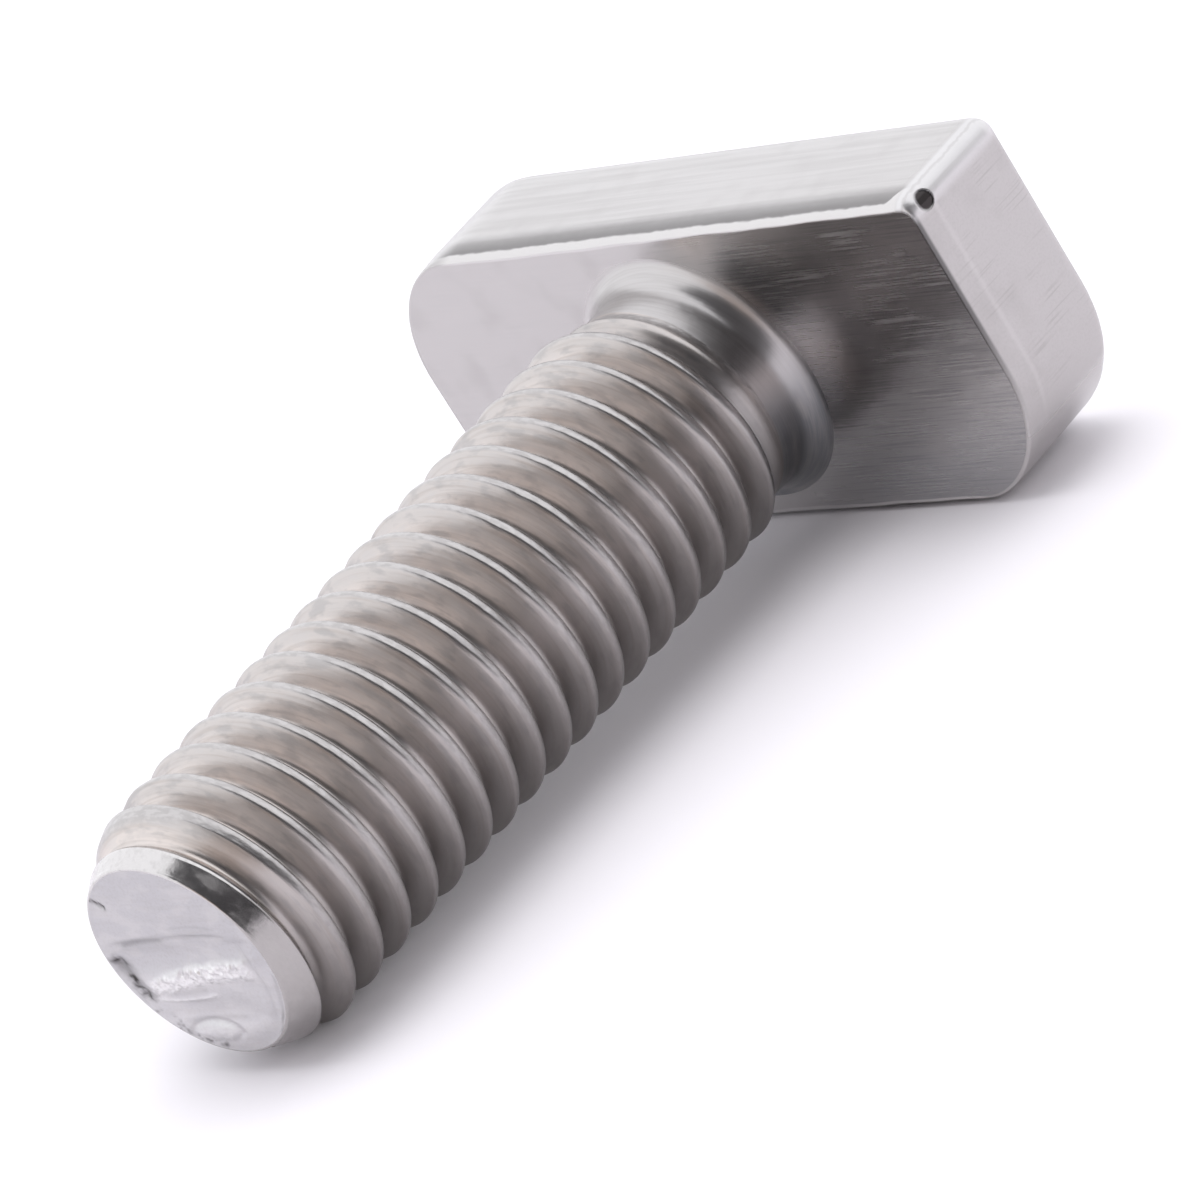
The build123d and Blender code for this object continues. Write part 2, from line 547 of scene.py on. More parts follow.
def end_rows():
    """The last of the point, its rim, and the cropped face in rings towards the middle."""
    cos = np.cos(COLUMN_ANGLES)
    sin = np.sin(COLUMN_ANGLES)
    rim_x = END_MIDDLE + END_TILT * point_radius(END_MIDDLE, COLUMN_ANGLES) * cos
    rows = []
    for k in range(1, POINT_ROWS + 1):
        x = THREAD_END + (rim_x - RIM_ROUND - THREAD_END) * k / POINT_ROWS
        rows.append(ring(x, thread_radius(x, COLUMN_ANGLES)))
    rim_radius = np.hypot(rows[-1][:, 1], rows[-1][:, 2]) - RIM_ROUND * RIM_TAPER
    for k in range(1, RIM_ROWS + 1):
        angle = QUARTER_TURN * k / RIM_ROWS
        x = rim_x - RIM_ROUND * (1 - math.sin(angle))
        rows.append(ring(x, rim_radius + RIM_ROUND * (RIM_TAPER - 1 + math.cos(angle))))
    face_radius = rim_radius + RIM_ROUND * (RIM_TAPER - 1)
    for k in range(1, END_ROWS):
        radius = face_radius * (1 - k / END_ROWS)
        y = radius * cos
        z = radius * sin
        x = END_MIDDLE + END_TILT * y + end_relief(y, z) * smoothstep(0, RELIEF_START, k / END_ROWS)
        rows.append(np.column_stack((x, y, z)))
    return rows


# ---------------------------------------------------------------- mesh
OUTER, SIDES, BEARING, NECK, THREAD, POINT, CROPPED = range(7)  # the materials, in slot order

UNDERSIDE = -0.25  # where the way round the bolt begins, in turns from +Y

# What the mesh tells the materials of each point.
PLACE = "bolt_place"  # where it is on the bolt's own axis
WRAP = "bolt_wrap"  # x less the helix's rise, the radius, and the way round in millimetres
CREST_WEAR = "crest_wear"
END_SHADE_AND_MARKS = "end_shade_and_marks"
END_TORN_AND_HIGHLIGHT = "end_torn_and_highlight"
SCALAR_LAYERS = (CREST_WEAR, END_SHADE_AND_MARKS, END_TORN_AND_HIGHLIGHT)


def resting_place():
    """From the bolt's own axis to where it lies, read from the record's bearing face."""
    mount = next(m for m in frame["record"]["mounts"] if m["name"] == "bearing_face")
    x_axis = Vector(mount["axis"]).normalized()
    y_axis = Vector((0, 1, 0))
    z_axis = x_axis.cross(y_axis)
    turn = Matrix((x_axis, y_axis, z_axis)).transposed().to_4x4()
    return Matrix.Translation(Vector(mount["pos_m"])) @ turn


def joined(rows, helical_start, helical_stop, rows_per_turn):
    """Faces between the rows. A helical row's last column meets its first one a turn later."""
    faces = []
    for row in range(len(rows) - 1):
        lead = rows_per_turn if helical_start <= row < helical_stop - 1 else 0
        for column in range(COLUMNS):
            right = (column + 1) % COLUMNS
            right_row = row + (lead if right == 0 else 0)
            if lead and right_row + 1 >= helical_stop:
                continue
            faces.append((
                row * COLUMNS + column,
                (row + 1) * COLUMNS + column,
                (right_row + 1) * COLUMNS + right,
                right_row * COLUMNS + right,
            ))
    return faces


def row_zones(head, neck, helical, end):
    """The material of the faces that start at each row."""
    outer_rows = CAP_ROWS + BACK_ROWS // 2
    point_rows = POINT_ROWS + RIM_ROWS - 1
    zones = [OUTER] * outer_rows + [SIDES] * (len(head) - BEARING_ROWS - outer_rows)
    zones += [BEARING] * BEARING_ROWS + [NECK] * len(neck) + [THREAD] * len(helical)
    return zones + [POINT] * point_rows + [CROPPED] * (len(end) - point_rows)


def welded(mesh):
    """Join the points that lie together, drop loose ones and turn every face outward."""
    work = bmesh.new()
    work.from_mesh(mesh)
    bmesh.ops.remove_doubles(work, verts=work.verts, dist=WELD * MM)
    loose = [v for v in work.verts if not v.link_faces]
    bmesh.ops.delete(work, geom=loose, context="VERTS")
    bmesh.ops.recalc_face_normals(work, faces=work.faces)
    for face in work.faces:
        face.smooth = True
    work.to_mesh(mesh)
    work.free()
    return mesh


def bolt_mesh():
    """One closed mesh of the whole bolt, with a material for each zone."""
    head = head_rows()
    neck = neck_rows()
    helical, rows_per_turn = thread_rows()
    end = end_rows()
    rows = head + neck + helical + end
    helical_start = len(head) + len(neck)
    faces = joined(rows, helical_start, helical_start + len(helical), rows_per_turn)
    zones = row_zones(head, neck, helical, end)
    materials = [zones[face[0] // COLUMNS] for face in faces]
    back_middle = (-HEAD_THICKNESS, 0, 0)
    tip_middle = (END_MIDDLE + end_relief(np.zeros(1), np.zeros(1))[0], 0, 0)
    points = np.concatenate(rows + [[back_middle, tip_middle]])
    back = len(rows) * COLUMNS
    tip = back + 1
    last = back - COLUMNS
    for column in range(COLUMNS):
        right = (column + 1) % COLUMNS
        faces.append((back, column, right))
        faces.append((tip, last + right, last + column))
        materials += [OUTER, CROPPED]
    mesh = bpy.data.meshes.new("bolt")
    mesh.from_pydata((points * MM).tolist(), [], faces)
    mesh.polygons.foreach_set("material_index", materials)
    return welded(mesh)


def mark_point(mesh):
    """Give the point's finish to those of the thread's faces that the taper cuts."""
    for face in mesh.polygons:
        if face.material_index != THREAD:
            continue
        x, y, z = face.center / MM
        angle = math.atan2(z, y)
        if x > POINT_CUT_FROM and thread_profile(x, angle) > point_radius(x, angle):
            face.material_index = POINT


def mark_places(mesh):
    """Keep where each point lies on the bolt, in millimetres, for the materials."""
    places = np.empty(len(mesh.vertices) * 3)
    mesh.vertices.foreach_get("co", places)
    places = places.reshape(-1, 3) / MM
    x, y, z = places.T
    angle = np.arctan2(z, y)
    turn = (angle / TURN - UNDERSIDE) % 1
    wrap = np.column_stack((x - PITCH * turn, np.hypot(y, z), turn * TURN * THREAD_RADIUS))
    offset = crest_offset(x, angle)
    on_crest = smoothstep(*WEAR_HEAD_SIDE, offset) * smoothstep(*WEAR_TIP_SIDE, offset)
    cut = thread_profile(x, angle) - point_radius(x, angle)
    far, near = END_MARK_DEPTHS
    on_end = smoothstep(END_MIDDLE - far, END_MIDDLE - near, x)
    for name, kind, values in (
        (CREST_WEAR, "FLOAT", np.maximum(on_crest, smoothstep(*WEAR_CUT, cut))),
        (PLACE, "FLOAT_VECTOR", places),
        (WRAP, "FLOAT_VECTOR", wrap),
        (END_SHADE_AND_MARKS, "FLOAT", end_shade_and_marks(y, z) * on_end),
        (END_TORN_AND_HIGHLIGHT, "FLOAT", end_torn_and_highlight(y, z) * on_end),
    ):
        layer = mesh.attributes.new(name, kind, "POINT")
        layer.data.foreach_set("vector" if kind == "FLOAT_VECTOR" else "value", values.ravel())


bolt = bpy.data.objects.new("t_slot_bolt_steel", bolt_mesh())
bpy.context.scene.collection.objects.link(bolt)
mark_point(bolt.data)
mark_places(bolt.data)
bolt.data.transform(resting_place())
bolt.data.update()
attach(bolt, "root")
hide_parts(NODE)


# ---------------------------------------------------------------- materials
PLAIN_STEEL = (0.505, 0.485, 0.482, 1)
DULL_STEEL = (0.400, 0.380, 0.375, 1)
BRIGHT_STEEL = (0.590, 0.570, 0.566, 1)
FLANK_STEEL = (0.505, 0.475, 0.462, 1)
WARM_LIGHT_STEEL = (0.640, 0.578, 0.545, 1)
EDGE_STEEL = (0.120, 0.115, 0.115, 1)
ROOT_STEEL = (0.380, 0.330, 0.300, 1)
GREY_STEEL = (0.234, 0.240, 0.254, 1)
UNDERSIDE_SHADE_STEEL = (0.240, 0.222, 0.214, 1)
CROPPED_STEEL = (0.480, 0.470, 0.486, 1)
TORN_AND_HIGHLIGHT_STEEL = (0.760, 0.745, 0.752, 1)
DARK_MARKS_AND_SHADE = (0.050, 0.045, 0.045, 1)

# Where the head's finishes change. Each pair is where the change begins and where it is complete.
END_ZONE = (HALF_LENGTH - 0.7, HALF_LENGTH - 0.1)  # distance from the middle, along the head
FLAT_END_ZONE = (HALF_LENGTH - 0.35, HALF_LENGTH - 0.10)
MATT_END_ZONE = (HALF_LENGTH - 0.7, HALF_LENGTH - 0.5)
CORNER_ZONE = (HALF_LENGTH - 0.65, HALF_LENGTH - 0.45)
CORNER_HEIGHT_ZONE = (HALF_WIDTH - 0.85, HALF_WIDTH - 0.45)  # distance from the middle, across it
ROUNDED_ZONE = (12.3, 13.4)  # distance between Y and Z, which is greatest on the rounded corners
ROLLED_EDGE_ZONE = (-0.95, -0.20)  # x, on the rolled edge's dark side
HIGHLIGHT_RIM_ZONE = (-0.17, -0.09)  # x, on its rim, which carries a painted highlight
WIDER_RIM_ZONE = (HALF_LENGTH - 1.1, HALF_LENGTH - 0.4)  # the rim widens towards the ends
WIDER_RIM = 0.5  # by this much in x
EDGE_RAGGEDNESS = 0.10
BEVEL_ZONE = (0.04 - END_BEVEL_DEPTH, 0.12 - END_BEVEL_DEPTH)
CREASE_ZONE = (-0.12 - END_BEVEL_DEPTH, 0.02 - END_BEVEL_DEPTH)  # the line behind the bevel, which carries a painted highlight
CREASE_END_ZONE = (0.02 - END_BEVEL_DEPTH, 0.18 - END_BEVEL_DEPTH)
DARK_EDGE_ZONE = (-0.16, -0.04)  # x of the painted dark reflection along the edge between one end and the bearing face
DARK_EDGE_FOOT = (-3.0, 1.5)  # z where it sets in
DARK_EDGE_TOP = (HALF_WIDTH - 0.55, HALF_WIDTH - 0.25)  # and where it stops
TOOL_LINE = HALF_LENGTH - 0.23  # a line the tool left across each square corner
TOOL_LINE_HALF_WIDTH = 0.08
TOOL_LINE_RAGGEDNESS = 2.0
SCRATCH_SLANT = math.radians(1.5)
CORNER_DARK_SPOT = (-0.62, HALF_LENGTH - 0.035, HALF_WIDTH - 0.40)  # a round dent on a corner, painted dark as a reflection
CORNER_DARK_SPOT_RADIUS = 0.35
BRUSHED_ZONE = (-1.0, 5.5)  # along the bearing face
BRUSHED_ELSEWHERE = 0.12
WARM_REFLECTIONS = (((0, 2.5, 4.7), 1.3), ((0, 5.2, 0.1), 1.7))  # painted warm reflections of the shank: place and radius, by the neck
FACE_SHADE_ZONE = (-4.5, -0.5)  # z on the bearing face, below which it is painted darker as shade
NECK_SHADE_ZONE = (-1.4, 1.0)  # z on the neck, below which it is painted darker as shade
# The thread's and the point's change with their height over the axis, and with the radius: the
# # thread's roots get painted warm light higher up, and the thread and the point painted shade lower down.
THREAD_WARM_LIGHT_RADII = (3.35, 3.85)
THREAD_WARM_LIGHT_HEIGHTS = (0.8, 2.8)
THREAD_SHADE_RADII = (3.3, 3.85)
THREAD_SHADE_HEIGHTS = (-2.0, 1.7)
THREAD_MATT_HEIGHTS = (-1.0, 2.2)
RUN_IN_SHADE = 2.4  # x of the middle of a greyer patch on the run-in
RUN_IN_SHADE_HALF_WIDTH = 0.8
POINT_SHADE_HEIGHTS = (0.6, 2.8)


def feed(tree, value, socket):
    """Link this value to a node's socket, or set it there if it is a number or a colour."""
    if isinstance(value, bpy.types.NodeSocket):
        tree.links.new(value, socket)
    else:
        socket.default_value = value


def maths(tree, operation, *values):
    """The result of a Math node. Each value is a number or a socket."""
    node = tree.nodes.new("ShaderNodeMath")
    node.operation = operation
    for socket, value in zip(node.inputs, values):
        feed(tree, value, socket)
    return node.outputs["Value"]


def mixed(tree, share, first, second, kind="RGBA"):
    """first where share is 0 and second where it is 1. Each is a socket, a colour or a number."""
    mix = tree.nodes.new("ShaderNodeMix")
    mix.data_type = kind
    tree.links.new(share, mix.inputs["Factor"])
    feed(tree, first, mix.inputs["A"])
    feed(tree, second, mix.inputs["B"])
    return mix.outputs["Result"]


def soft_step(tree, value, zone, start=0.0, stop=1.0):
    """start below the zone, stop above it, and smooth within it."""
    node = tree.nodes.new("ShaderNodeMapRange")
    node.interpolation_type = "SMOOTHSTEP"
    for name, number in zip(("From Min", "From Max", "To Min", "To Max"), (*zone, start, stop)):
        node.inputs[name].default_value = number
    tree.links.new(value, node.inputs["Value"])
    return node.outputs["Result"]


class Finish:
    """A steel finish under construction. Every size is in millimetres on the bolt's own axis."""

    def __init__(self, name, colour, roughness):
        self.material = bpy.data.materials.new(name)
        self.material.use_nodes = True
        self.tree = self.material.node_tree
        self.shader = self.tree.nodes["Principled BSDF"]
        for socket, value in (("Base Color", colour), ("Metallic", 1.0), ("Roughness", roughness)):
            self.shader.inputs[socket].default_value = value
        self.normal = None

    def place(self, layer=PLACE):
        """What the mesh tells of each point: its place, or another layer."""
        node = self.tree.nodes.new("ShaderNodeAttribute")
        node.attribute_name = layer
        return node.outputs["Fac"] if layer in SCALAR_LAYERS else node.outputs["Vector"]

    def part(self, axis, layer=PLACE):
        """One coordinate of the place: X, Y or Z."""
        node = self.tree.nodes.new("ShaderNodeSeparateXYZ")
        self.tree.links.new(self.place(layer), node.inputs[0])
        return node.outputs[axis]

    def plus(self, first, second):
        return maths(self.tree, "ADD", first, second)

    def minus(self, first, second):
        return maths(self.tree, "SUBTRACT", first, second)

    def times(self, first, second):
        return maths(self.tree, "MULTIPLY", first, second)

    def unsigned(self, value):
        return maths(self.tree, "ABSOLUTE", value)

    def step(self, value, zone, start=0.0, stop=1.0):
        """start below the zone, stop above it, and smooth within it."""
        return soft_step(self.tree, value, zone, start, stop)

    def spot(self, value, middle, half_width):
        """1 where the value is at this middle, falling to 0 at half a width from it."""
        return self.step(self.unsigned(self.minus(value, middle)), (0.0, half_width), 1.0, 0.0)

    def near(self, place, radius, softness):
        """1 near a place and 0 beyond this radius. The softness is the share that fades."""
        node = self.tree.nodes.new("ShaderNodeVectorMath")
        node.operation = "DISTANCE"
        node.inputs[1].default_value = place
        self.tree.links.new(self.place(), node.inputs[0])
        return self.step(node.outputs["Value"], (radius * (1 - softness), radius), 1.0, 0.0)

    def lumps(self, size, seed, detail=2.0, layer=PLACE, turn=0.0):
        """Noise about 0.5, with lumps of this size, or a size along each axis, turned about Y."""
        vector = self.place(layer)
        if turn:
            rotate = self.tree.nodes.new("ShaderNodeVectorRotate")
            rotate.rotation_type = "Y_AXIS"
            rotate.inputs["Angle"].default_value = turn
            self.tree.links.new(vector, rotate.inputs["Vector"])
            vector = rotate.outputs["Vector"]
        scale = self.tree.nodes.new("ShaderNodeVectorMath")
        scale.operation = "MULTIPLY_ADD"
        scale.inputs[1].default_value = 1 / np.broadcast_to(size, 3)
        scale.inputs[2].default_value = (seed, seed, seed)
        self.tree.links.new(vector, scale.inputs[0])
        texture = self.tree.nodes.new("ShaderNodeTexNoise")
        texture.inputs["Scale"].default_value = 1.0
        texture.inputs["Detail"].default_value = detail
        self.tree.links.new(scale.outputs["Vector"], texture.inputs["Vector"])
        return texture.outputs["Fac"]

    def lay(self, socket, kind, value, share):
        """Lay this value over what is in this socket of the shader, by share."""
        socket = self.shader.inputs[socket]
        under = socket.links[0].from_socket if socket.links else socket.default_value
        self.tree.links.new(mixed(self.tree, share, under, value, kind), socket)

    def roughen(self, roughness, share):
        """Move the roughness towards this value, by share."""
        self.lay("Roughness", "FLOAT", roughness, share)

    def paint(self, colour, mask, share=1.0):
        """Lay this colour over what is there, by this share of the mask."""
        self.lay("Base Color", "RGBA", colour, self.times(mask, share) if share < 1 else mask)

    def tint(self, colour, value, zone, share=1.0, below=False, within=None):
        """Paint where this value is above the zone, or below it, and only within this mask."""
        limits = (share, 0.0) if below else (0.0, share)
        mask = self.step(value, zone, *limits)
        self.paint(colour, self.times(mask, within) if within else mask)

    def film(self, share):
        """A thin matt film over the metal, by share."""
        self.tree.links.new(self.minus(1.0, share), self.shader.inputs["Metallic"])

    def emboss(self, height, depth):
        """Raise the surface by this height map times a depth in millimetres."""
        node = self.tree.nodes.new("ShaderNodeBump")
        node.inputs["Distance"].default_value = depth * MM
        self.tree.links.new(height, node.inputs["Height"])
        if self.normal:
            self.tree.links.new(self.normal, node.inputs["Normal"])
        self.normal = node.outputs["Normal"]
        self.tree.links.new(self.normal, self.shader.inputs["Normal"])


def steel_outer(steel):
    """The head's outer face: brushed along its length."""
    streaks = steel.lumps(size=(0.6, 6.0, 0.10), seed=3.0)
    steel.tint(DULL_STEEL, streaks, zone=(0.35, 0.75), share=0.35)
    steel.emboss(streaks, depth=0.004)
    steel.emboss(steel.lumps(size=1.5, seed=9.0), depth=0.010)


def steel_sides(steel):
    """The head's sides: drawn lengthwise on the long ones and scratched aslant on the ends. The rolled
    front edge is darker, with a painted highlight along its rim; the square corners and the line behind
    each end's bevel carry painted highlights, each end's front edge a painted dark reflection, and one
    round dent on a corner is painted dark as a reflection."""
    along = steel.part("Y")
    across = steel.part("Z")
    off_middle = steel.unsigned(along)
    off_axis = steel.unsigned(across)
    ends = steel.step(off_middle, END_ZONE)
    flat_ends = steel.step(off_middle, FLAT_END_ZONE)
    rounded = steel.step(steel.unsigned(steel.minus(along, across)), ROUNDED_ZONE)
    flat_side = steel.times(steel.minus(1.0, ends), steel.minus(1.0, rounded))
    corner = steel.times(steel.step(off_middle, CORNER_ZONE), steel.step(off_axis, CORNER_HEIGHT_ZONE))

    drawn = steel.lumps(size=(0.22, 9.0, 0.22), seed=1.0, detail=3.0)
    steel.tint(DULL_STEEL, drawn, zone=(0.38, 0.68), share=0.50, within=flat_side)
    aslant = steel.lumps(size=(4.0, 0.5, 0.08), seed=2.0, detail=1.0, turn=SCRATCH_SLANT)
    patchy = steel.step(steel.lumps(size=1.5, seed=11.0), zone=(0.45, 0.65))
    steel.tint(DULL_STEEL, aslant, zone=(0.56, 0.66), share=0.6, within=steel.times(flat_ends, patchy))
    cloudy = steel.lumps(size=1.2, seed=5.0, detail=4.0)
    steel.tint(DULL_STEEL, cloudy, zone=(0.48, 0.78), share=0.35)
    speckle = steel.lumps(size=0.07, seed=16.0)
    steel.tint(DULL_STEEL, speckle, zone=(0.40, 0.75), share=0.25, within=ends)

    uneven = steel.lumps(size=(0.2, 0.35, 0.2), seed=4.0, detail=3.0)
    ragged = steel.times(uneven, EDGE_RAGGEDNESS)
    depth = steel.plus(steel.part("X"), ragged)
    rim_depth = steel.plus(depth, steel.step(off_middle, WIDER_RIM_ZONE, stop=WIDER_RIM))
    steel.tint(EDGE_STEEL, depth, ROLLED_EDGE_ZONE, share=0.7, within=flat_side)
    # Painted highlight along the rolled edge's rim.
    steel.tint(BRIGHT_STEEL, rim_depth, HIGHLIGHT_RIM_ZONE, within=flat_side)
    steel.tint(DULL_STEEL, depth, BEVEL_ZONE, share=0.12, within=ends)
    # Painted highlight along the crease behind each end's bevel.
    on_crease = steel.times(steel.step(depth, CREASE_ZONE), ends)
    steel.tint(BRIGHT_STEEL, depth, CREASE_END_ZONE, share=0.35, below=True, within=on_crease)
    upper_part = steel.times(
        steel.step(across, DARK_EDGE_FOOT),
        steel.step(off_axis, DARK_EDGE_TOP, start=1.0, stop=0.0),
    )
    edge = steel.times(upper_part, steel.step(along, END_ZONE))
    # Painted dark reflection along the edge between each end and the bearing face.
    steel.tint(EDGE_STEEL, steel.part("X"), DARK_EDGE_ZONE, share=0.85, within=edge)

    # Painted highlight over the square corners.
    steel.paint(TORN_AND_HIGHLIGHT_STEEL, corner, share=0.6)
    wandering = steel.plus(off_middle, steel.times(ragged, TOOL_LINE_RAGGEDNESS))
    tool_line = steel.spot(wandering, TOOL_LINE, TOOL_LINE_HALF_WIDTH)
    steel.tint(DULL_STEEL, tool_line, zone=(0.1, 0.9), share=0.3, within=corner)
    steel.roughen(0.38, steel.step(off_middle, MATT_END_ZONE))
    steel.roughen(0.42, corner)
    # A round dent, painted dark as a reflection.
    dark_spot = steel.near(CORNER_DARK_SPOT, CORNER_DARK_SPOT_RADIUS, softness=0.35)
    steel.paint(DARK_MARKS_AND_SHADE, dark_spot)
    steel.roughen(0.15, dark_spot)
    steel.emboss(dark_spot, depth=-0.05)
    steel.emboss(steel.times(drawn, flat_side), depth=0.004)
    steel.emboss(steel.times(aslant, flat_ends), depth=0.004)


def steel_bearing(steel):
    """The bearing face: short brush strokes along its length, painted warm reflections by the neck
    and painted shade lower down.
    """
    brushed = steel.step(steel.part("Y"), BRUSHED_ZONE, start=BRUSHED_ELSEWHERE)
    strokes = steel.lumps(size=(1.0, 2.4, 0.06), seed=6.0, detail=3.0)
    patches = steel.step(steel.lumps(size=(2.0, 2.6, 1.1), seed=8.0), zone=(0.38, 0.60))
    steel.tint(GREY_STEEL, strokes, zone=(0.32, 0.50), share=0.4, below=True, within=brushed)
    lit = steel.times(steel.step(strokes, zone=(0.48, 0.68), stop=0.75), steel.times(brushed, patches))
    steel.paint(BRIGHT_STEEL, lit)
    steel.roughen(0.42, lit)
    # Painted warm reflections of the shank by the neck.
    for place, radius in WARM_REFLECTIONS:
        steel.paint(WARM_LIGHT_STEEL, steel.near(place, radius, softness=1.0), share=0.6)
    # Painted shade, darker towards the bottom.
    steel.tint(GREY_STEEL, steel.part("Z"), FACE_SHADE_ZONE, share=0.55, below=True, within=brushed)
    cloudy = steel.lumps(size=1.6, seed=15.0, detail=4.0)
    steel.tint(DULL_STEEL, cloudy, zone=(0.48, 0.72), share=0.35)
    steel.emboss(steel.times(strokes, brushed), depth=0.003)
    steel.emboss(steel.lumps(size=(1.0, 1.1, 0.9), seed=7.0), depth=0.014)


def steel_neck(steel):
    """The neck and its flare: rolled smooth, with fine rings, and painted shade lower down."""
    rings = steel.lumps(size=(0.06, 0.06, 5.0), seed=1.0, layer=WRAP)
    bands = steel.lumps(size=(0.6, 0.6, 2.0), seed=2.0, layer=WRAP)
    # Painted shade, darker towards the bottom.
    steel.tint(GREY_STEEL, steel.part("Z"), NECK_SHADE_ZONE, share=0.95, below=True)
    steel.tint(DULL_STEEL, rings, zone=(0.4, 0.7), share=0.35)
    steel.tint(FLANK_STEEL, bands, zone=(0.5, 0.75), share=0.4)
    steel.emboss(rings, depth=0.002)
    steel.emboss(steel.lumps(size=0.8, seed=3.0), depth=0.012)


def steel_thread(steel):
    """The rolled thread: bright worn crests, satin flanks, streaky roots with painted warm light,
    and painted shade on the underside.
    """
    radius = steel.part("Y", WRAP)
    height = steel.part("Z")
    crest = steel.place(CREST_WEAR)
    grain = steel.lumps(size=(0.10, 0.10, 3.0), seed=4.0, detail=3.0, layer=WRAP)
    bands = steel.lumps(size=(0.20, 0.20, 4.0), seed=14.0, layer=WRAP)
    blotches = steel.lumps(size=(0.30, 0.30, 0.9), seed=7.0, detail=4.0, layer=WRAP)
    chewed = steel.lumps(size=(0.12, 0.12, 0.3), seed=13.0, detail=3.0, layer=WRAP)

    # Painted warm light in the roots, stronger towards the top, in streaky bands.
    warm_light = steel.times(
        steel.step(radius, THREAD_WARM_LIGHT_RADII, start=1.0, stop=0.2),
        steel.step(height, THREAD_WARM_LIGHT_HEIGHTS, start=0.35),
    )
    steel.paint(WARM_LIGHT_STEEL, steel.times(warm_light, steel.step(bands, zone=(0.36, 0.62), start=0.55)))
    steel.tint(ROOT_STEEL, grain, zone=(0.46, 0.70), share=0.35)
    steel.tint(GREY_STEEL, blotches, zone=(0.48, 0.66), share=0.30)
    steel.tint(PLAIN_STEEL, blotches, zone=(0.34, 0.46), share=0.30, below=True)
    steel.paint(PLAIN_STEEL, crest, share=0.85)
    steel.roughen(0.34, crest)
    steel.tint(DULL_STEEL, chewed, zone=(0.40, 0.60), share=0.7, within=crest)
    # Painted shade on the underside, a little less of it on the crests.
    shaded_underside = steel.step(radius, THREAD_SHADE_RADII, start=1.0, stop=0.75)
    steel.tint(UNDERSIDE_SHADE_STEEL, height, THREAD_SHADE_HEIGHTS, share=0.95, below=True, within=shaded_underside)
    steel.roughen(0.40, steel.step(height, THREAD_MATT_HEIGHTS, start=1.0, stop=0.0))
    run_in = steel.spot(steel.part("X"), RUN_IN_SHADE, RUN_IN_SHADE_HALF_WIDTH)
    steel.paint(GREY_STEEL, run_in, share=0.35)
    steel.emboss(steel.times(crest, chewed), depth=0.012)
    steel.emboss(grain, depth=0.003)
    steel.emboss(steel.lumps(size=(0.4, 0.4, 0.9), seed=9.0, layer=WRAP), depth=0.010)


def steel_point(steel):
    """The point's band: pressed bright, with a mottled skin."""
    mottle = steel.lumps(size=(0.18, 0.18, 0.30), seed=5.0)
    smudges = steel.lumps(size=(0.30, 0.30, 0.80), seed=8.0, detail=6.0, layer=WRAP)
    steel.tint(DULL_STEEL, mottle, zone=(0.45, 0.75), share=0.30)
    steel.tint(DULL_STEEL, steel.part("Z"), POINT_SHADE_HEIGHTS, share=0.9, below=True)
    steel.roughen(0.26, steel.step(mottle, zone=(0.30, 0.80)))
    steel.film(steel.step(smudges, zone=(0.40, 0.68), stop=0.20))
    steel.emboss(mottle, depth=0.005)
    steel.emboss(steel.lumps(size=(0.7, 0.7, 1.1), seed=6.0, layer=WRAP), depth=0.022)


def steel_cropped(steel):
    """The cropped end: sheared steel, matt, darker in its pits, with painted shade in and under its
    crease and painted highlights on its bowl.
    """
    grain = steel.lumps(size=0.08, seed=1.0, detail=4.0)
    swept = steel.lumps(size=(1.0, 1.8, 0.20), seed=2.0)
    cloudy = steel.lumps(size=(0.7, 0.9, 0.5), seed=3.0, detail=3.0)
    torn = steel.lumps(size=(0.11, 0.14, 0.10), seed=4.0, detail=3.0)
    torn_and_highlight = steel.place(END_TORN_AND_HIGHLIGHT)
    steel.tint(DULL_STEEL, grain, zone=(0.45, 0.70), share=0.35)
    steel.tint(BRIGHT_STEEL, cloudy, zone=(0.45, 0.65), share=0.35)
    steel.tint(DULL_STEEL, swept, zone=(0.48, 0.72), share=0.20)
    # The torn band, with a painted highlight along the bowl's lip and a little brightening on the oval.
    steel.paint(TORN_AND_HIGHLIGHT_STEEL, torn_and_highlight)
    steel.tint(DULL_STEEL, torn, zone=(0.45, 0.65), share=0.35, within=torn_and_highlight)
    # Painted shade in and under the crease and on the oval's upper side, with darker marks elsewhere.
    steel.paint(DARK_MARKS_AND_SHADE, steel.place(END_SHADE_AND_MARKS))
    steel.emboss(grain, depth=0.006)
    steel.emboss(swept, depth=0.008)
    steel.emboss(cloudy, depth=0.020)
    steel.emboss(steel.times(torn_and_highlight, torn), depth=0.035)


# Each finish's name, colour, roughness and what is done to it, in slot order.
FINISHES = (
    ("steel_outer_face", PLAIN_STEEL, 0.30, steel_outer),
    ("steel_sides", PLAIN_STEEL, 0.26, steel_sides),
    ("steel_bearing_face", PLAIN_STEEL, 0.24, steel_bearing),
    ("steel_neck", PLAIN_STEEL, 0.30, steel_neck),
    ("steel_thread", FLANK_STEEL, 0.32, steel_thread),
    ("steel_point", BRIGHT_STEEL, 0.18, steel_point),
    ("steel_cropped_end", CROPPED_STEEL, 0.34, steel_cropped),
)


# ---------------------------------------------------------------- floor, camera and light
FLOOR_SIZE = 6.0  # metres
PALE_FLOOR = (0.84, 0.812, 0.85, 1)
FLOOR_ROUGHNESS = 0.65

# Directions are an azimuth and an elevation in degrees, seen from the bolt.
CAMERA_AIM = Vector((-1.639, 1.961, 3.590)) * MM
CAMERA_DISTANCE = 181.217 * MM
CAMERA_DIRECTION = (53.688, 21.993)
CAMERA_ROLL = -30.391
LENS = 200.0
SENSOR_WIDTH = 36.0
CLIP_START = 0.001

